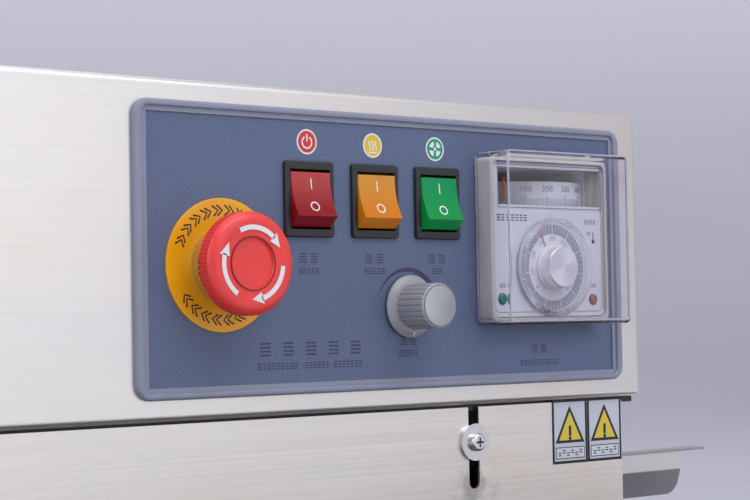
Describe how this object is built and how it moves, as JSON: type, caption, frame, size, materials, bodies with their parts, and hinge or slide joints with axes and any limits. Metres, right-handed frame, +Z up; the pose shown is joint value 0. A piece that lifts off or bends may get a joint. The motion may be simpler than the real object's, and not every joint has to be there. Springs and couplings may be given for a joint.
{
  "type": "continuous band sealer",
  "caption": "Bench-top continuous band sealer: control box with stop button, rocker switches, speed knob and temperature controller over sealing bands and a conveyor.",
  "frame": {"origin": "on the floor under the middle of the machine", "axes": "+X along the machine against the bag travel, -Y towards the operator, +Z up"},
  "size_m": [0.84, 0.392, 0.32],
  "materials": {
    "stainless": "horizontally brushed stainless sheet",
    "bright_steel": "bright plated steel",
    "turned_steel": "turned steel",
    "dark_gasket": "dark gasket and floor plate",
    "panel_blue": "satin blue-grey printed plate",
    "frame_grey": "blue-grey moulded plastic",
    "yellow_ring": "yellow plastic",
    "red_plastic": "red plastic",
    "black_plastic": "black plastic",
    "rocker_red": "translucent red",
    "rocker_amber": "translucent amber",
    "rocker_green": "translucent green",
    "knob_grey": "grey moulded knob",
    "beige_plastic": "grey-beige plastic",
    "white_plate": "white enamelled plate",
    "clear_plastic": "clear plastic",
    "dial_white": "white dial with a metal cap",
    "lamp_lens": "tinted lamp lenses",
    "needle_red": "red-orange needle",
    "ptfe_band": "PTFE-coated glass cloth",
    "wheel_rubber": "rubber-faced wheel",
    "aluminium": "machined aluminium",
    "brass": "brass",
    "base_paint": "powder-coated sheet",
    "motor_paint": "dark enamel",
    "foot_rubber": "black rubber",
    "belt_green": "dark conveyor belt"
  },
  "bodies": {
    "frame": {"base_housing": "base_paint", "base_plate": "base_paint", "control_box_floor": "dark_gasket", "control_box_rear": "stainless", "control_box_shell": "stainless", "controller_case": "beige_plastic", "controller_face": "white_plate", "controller_lamps": "lamp_lens", "controller_movement": "beige_plastic", "controller_scale": "white_plate", "conveyor_columns": "aluminium", "cooling_blocks": "aluminium", "estop_body": "black_plastic", "estop_collar": "bright_steel", "estop_ring": "yellow_ring", "fan_frame": "black_plastic", "gearbox": "aluminium", "guard_brackets": "stainless", "guard_screws": "bright_steel", "head_plate": "aluminium", "heating_blocks": "brass", "infeed_guide": "stainless", "motor": "motor_paint", "panel_frame": "frame_grey", "panel_plate": "panel_blue", "power_inlet": "black_plastic", "rubber_feet": "foot_rubber", "seal_bands": "ptfe_band", "shaft_bearings": "turned_steel", "speed_potentiometer": "black_plastic", "switch_housings": "black_plastic"},
    "guard": {"guard": "stainless"},
    "estop_plunger": {"estop_plunger": "black_plastic"},
    "estop_head": {"estop_head": "red_plastic"},
    "rocker_power": {"rocker_power": "rocker_red"},
    "rocker_heater": {"rocker_heater": "rocker_amber"},
    "rocker_fan": {"rocker_fan": "rocker_green"},
    "speed_knob": {"speed_knob": "knob_grey", "speed_spindle": "turned_steel"},
    "controller_dial": {"controller_dial": "dial_white", "controller_dial_ring": "clear_plastic"},
    "controller_needle": {"controller_needle": "needle_red"},
    "controller_cover": {"controller_cover": "clear_plastic"},
    "lower_drive": {"lower_drive_wheel": "wheel_rubber", "lower_drive_gear": "turned_steel"},
    "upper_drive": {"upper_drive_wheel": "wheel_rubber", "upper_drive_gear": "turned_steel"},
    "motor_pinion": {"motor_pinion": "turned_steel"},
    "upper_idler": {"upper_idler_wheel": "wheel_rubber"},
    "lower_idler": {"lower_idler_wheel": "wheel_rubber"},
    "upper_pinch": {"upper_pinch_wheel": "wheel_rubber"},
    "lower_pinch": {"lower_pinch_wheel": "wheel_rubber"},
    "conveyor": {"conveyor_frame": "stainless", "conveyor_belt": "belt_green", "conveyor_cradles": "base_paint"},
    "conveyor_drive_roller": {"conveyor_drive_roller": "turned_steel"},
    "conveyor_idler_roller": {"conveyor_idler_roller": "turned_steel"},
    "height_knob_left": {"height_knob_left": "black_plastic"},
    "height_knob_right": {"height_knob_right": "black_plastic"},
    "fan_rotor": {"fan_rotor": "black_plastic"}
  },
  "joints": [
    {"name": "guard_height", "type": "slide", "parent": "frame", "child": "guard", "axis": [0, 0, 1], "range_m": [-0.015, 0]},
    {"name": "estop_press", "type": "slide", "parent": "frame", "child": "estop_plunger", "axis": [0, 1, 0], "range_m": [0, 0.004], "stiffness_N_per_m": 900},
    {"name": "estop_twist", "type": "hinge", "parent": "estop_plunger", "child": "estop_head", "pos_m": [0.0396, -0.035, 0.2474], "axis": [0, 1, 0], "range_deg": [0, 30], "stiffness_Nm_per_rad": 0.05},
    {"name": "rocker_power_tilt", "type": "hinge", "parent": "frame", "child": "rocker_power", "pos_m": [0.0829, -0.0333, 0.2745], "axis": [1, 0, 0], "range_deg": [0, 30]},
    {"name": "rocker_heater_tilt", "type": "hinge", "parent": "frame", "child": "rocker_heater", "pos_m": [0.1177, -0.0333, 0.2745], "axis": [1, 0, 0], "range_deg": [0, 30]},
    {"name": "rocker_fan_tilt", "type": "hinge", "parent": "frame", "child": "rocker_fan", "pos_m": [0.1526, -0.0333, 0.2745], "axis": [1, 0, 0], "range_deg": [0, 30]},
    {"name": "speed_knob_turn", "type": "hinge", "parent": "frame", "child": "speed_knob", "pos_m": [0.136, -0.035, 0.2303], "axis": [0, 1, 0], "range_deg": [0, 300]},
    {"name": "dial_turn", "type": "hinge", "parent": "frame", "child": "controller_dial", "pos_m": [0.213, -0.035, 0.2469], "axis": [0, 1, 0], "range_deg": [-120, 178]},
    {"name": "needle_sweep", "type": "hinge", "parent": "frame", "child": "controller_needle", "pos_m": [0.2255, -0.0035, 0.2854], "axis": [0, 0, 1], "range_deg": [0, 66], "stiffness_Nm_per_rad": 0.0002},
    {"name": "cover_lift", "type": "hinge", "parent": "frame", "child": "controller_cover", "pos_m": [0.213, -0.03675, 0.29645], "axis": [-1, 0, 0], "range_deg": [0, 75]},
    {"name": "lower_drive_spin", "type": "hinge", "parent": "frame", "child": "lower_drive", "pos_m": [-0.225, -0.035, 0.0935], "axis": [0, 1, 0], "continuous": true},
    {"name": "upper_drive_spin", "type": "hinge", "parent": "frame", "child": "upper_drive", "pos_m": [-0.225, -0.035, 0.1505], "axis": [0, 1, 0], "continuous": true},
    {"name": "pinion_spin", "type": "hinge", "parent": "frame", "child": "motor_pinion", "pos_m": [-0.18225, -0.035, 0.0935], "axis": [0, 1, 0], "continuous": true},
    {"name": "upper_idler_spin", "type": "hinge", "parent": "frame", "child": "upper_idler", "pos_m": [0.225, -0.035, 0.1505], "axis": [0, 1, 0], "continuous": true},
    {"name": "lower_idler_spin", "type": "hinge", "parent": "frame", "child": "lower_idler", "pos_m": [0.225, -0.035, 0.0935], "axis": [0, 1, 0], "continuous": true},
    {"name": "upper_pinch_spin", "type": "hinge", "parent": "frame", "child": "upper_pinch", "pos_m": [-0.11, -0.035, 0.1467], "axis": [0, 1, 0], "continuous": true},
    {"name": "lower_pinch_spin", "type": "hinge", "parent": "frame", "child": "lower_pinch", "pos_m": [-0.11, -0.035, 0.0973], "axis": [0, 1, 0], "continuous": true},
    {"name": "conveyor_height", "type": "slide", "parent": "frame", "child": "conveyor", "axis": [0, 0, 1], "range_m": [-0.006, 0.015]},
    {"name": "conveyor_drive_spin", "type": "hinge", "parent": "conveyor", "child": "conveyor_drive_roller", "pos_m": [-0.4032, -0.035, 0.0832], "axis": [0, 1, 0], "continuous": true},
    {"name": "conveyor_idler_spin", "type": "hinge", "parent": "conveyor", "child": "conveyor_idler_roller", "pos_m": [0.4032, -0.035, 0.0832], "axis": [0, 1, 0], "continuous": true},
    {"name": "height_knob_left_turn", "type": "hinge", "parent": "frame", "child": "height_knob_left", "pos_m": [-0.2, -0.035, 0.036], "axis": [0, 1, 0], "range_deg": [-360, 0]},
    {"name": "height_knob_right_turn", "type": "hinge", "parent": "frame", "child": "height_knob_right", "pos_m": [0.2, -0.035, 0.036], "axis": [0, 1, 0], "range_deg": [-360, 0]},
    {"name": "fan_spin", "type": "hinge", "parent": "frame", "child": "fan_rotor", "pos_m": [0.11, -0.035, 0.104], "axis": [0, 1, 0], "continuous": true}
  ],
  "couplings": [
    {"joint": "upper_drive_spin", "follows": "lower_drive_spin", "ratio": -1},
    {"joint": "pinion_spin", "follows": "lower_drive_spin", "ratio": -2},
    {"joint": "upper_idler_spin", "follows": "lower_drive_spin", "ratio": -1},
    {"joint": "lower_idler_spin", "follows": "lower_drive_spin", "ratio": 1},
    {"joint": "upper_pinch_spin", "follows": "lower_drive_spin", "ratio": -1.155},
    {"joint": "lower_pinch_spin", "follows": "lower_drive_spin", "ratio": 1.155},
    {"joint": "conveyor_drive_spin", "follows": "lower_drive_spin", "ratio": 1.76},
    {"joint": "conveyor_idler_spin", "follows": "lower_drive_spin", "ratio": 1.76}
  ]
}
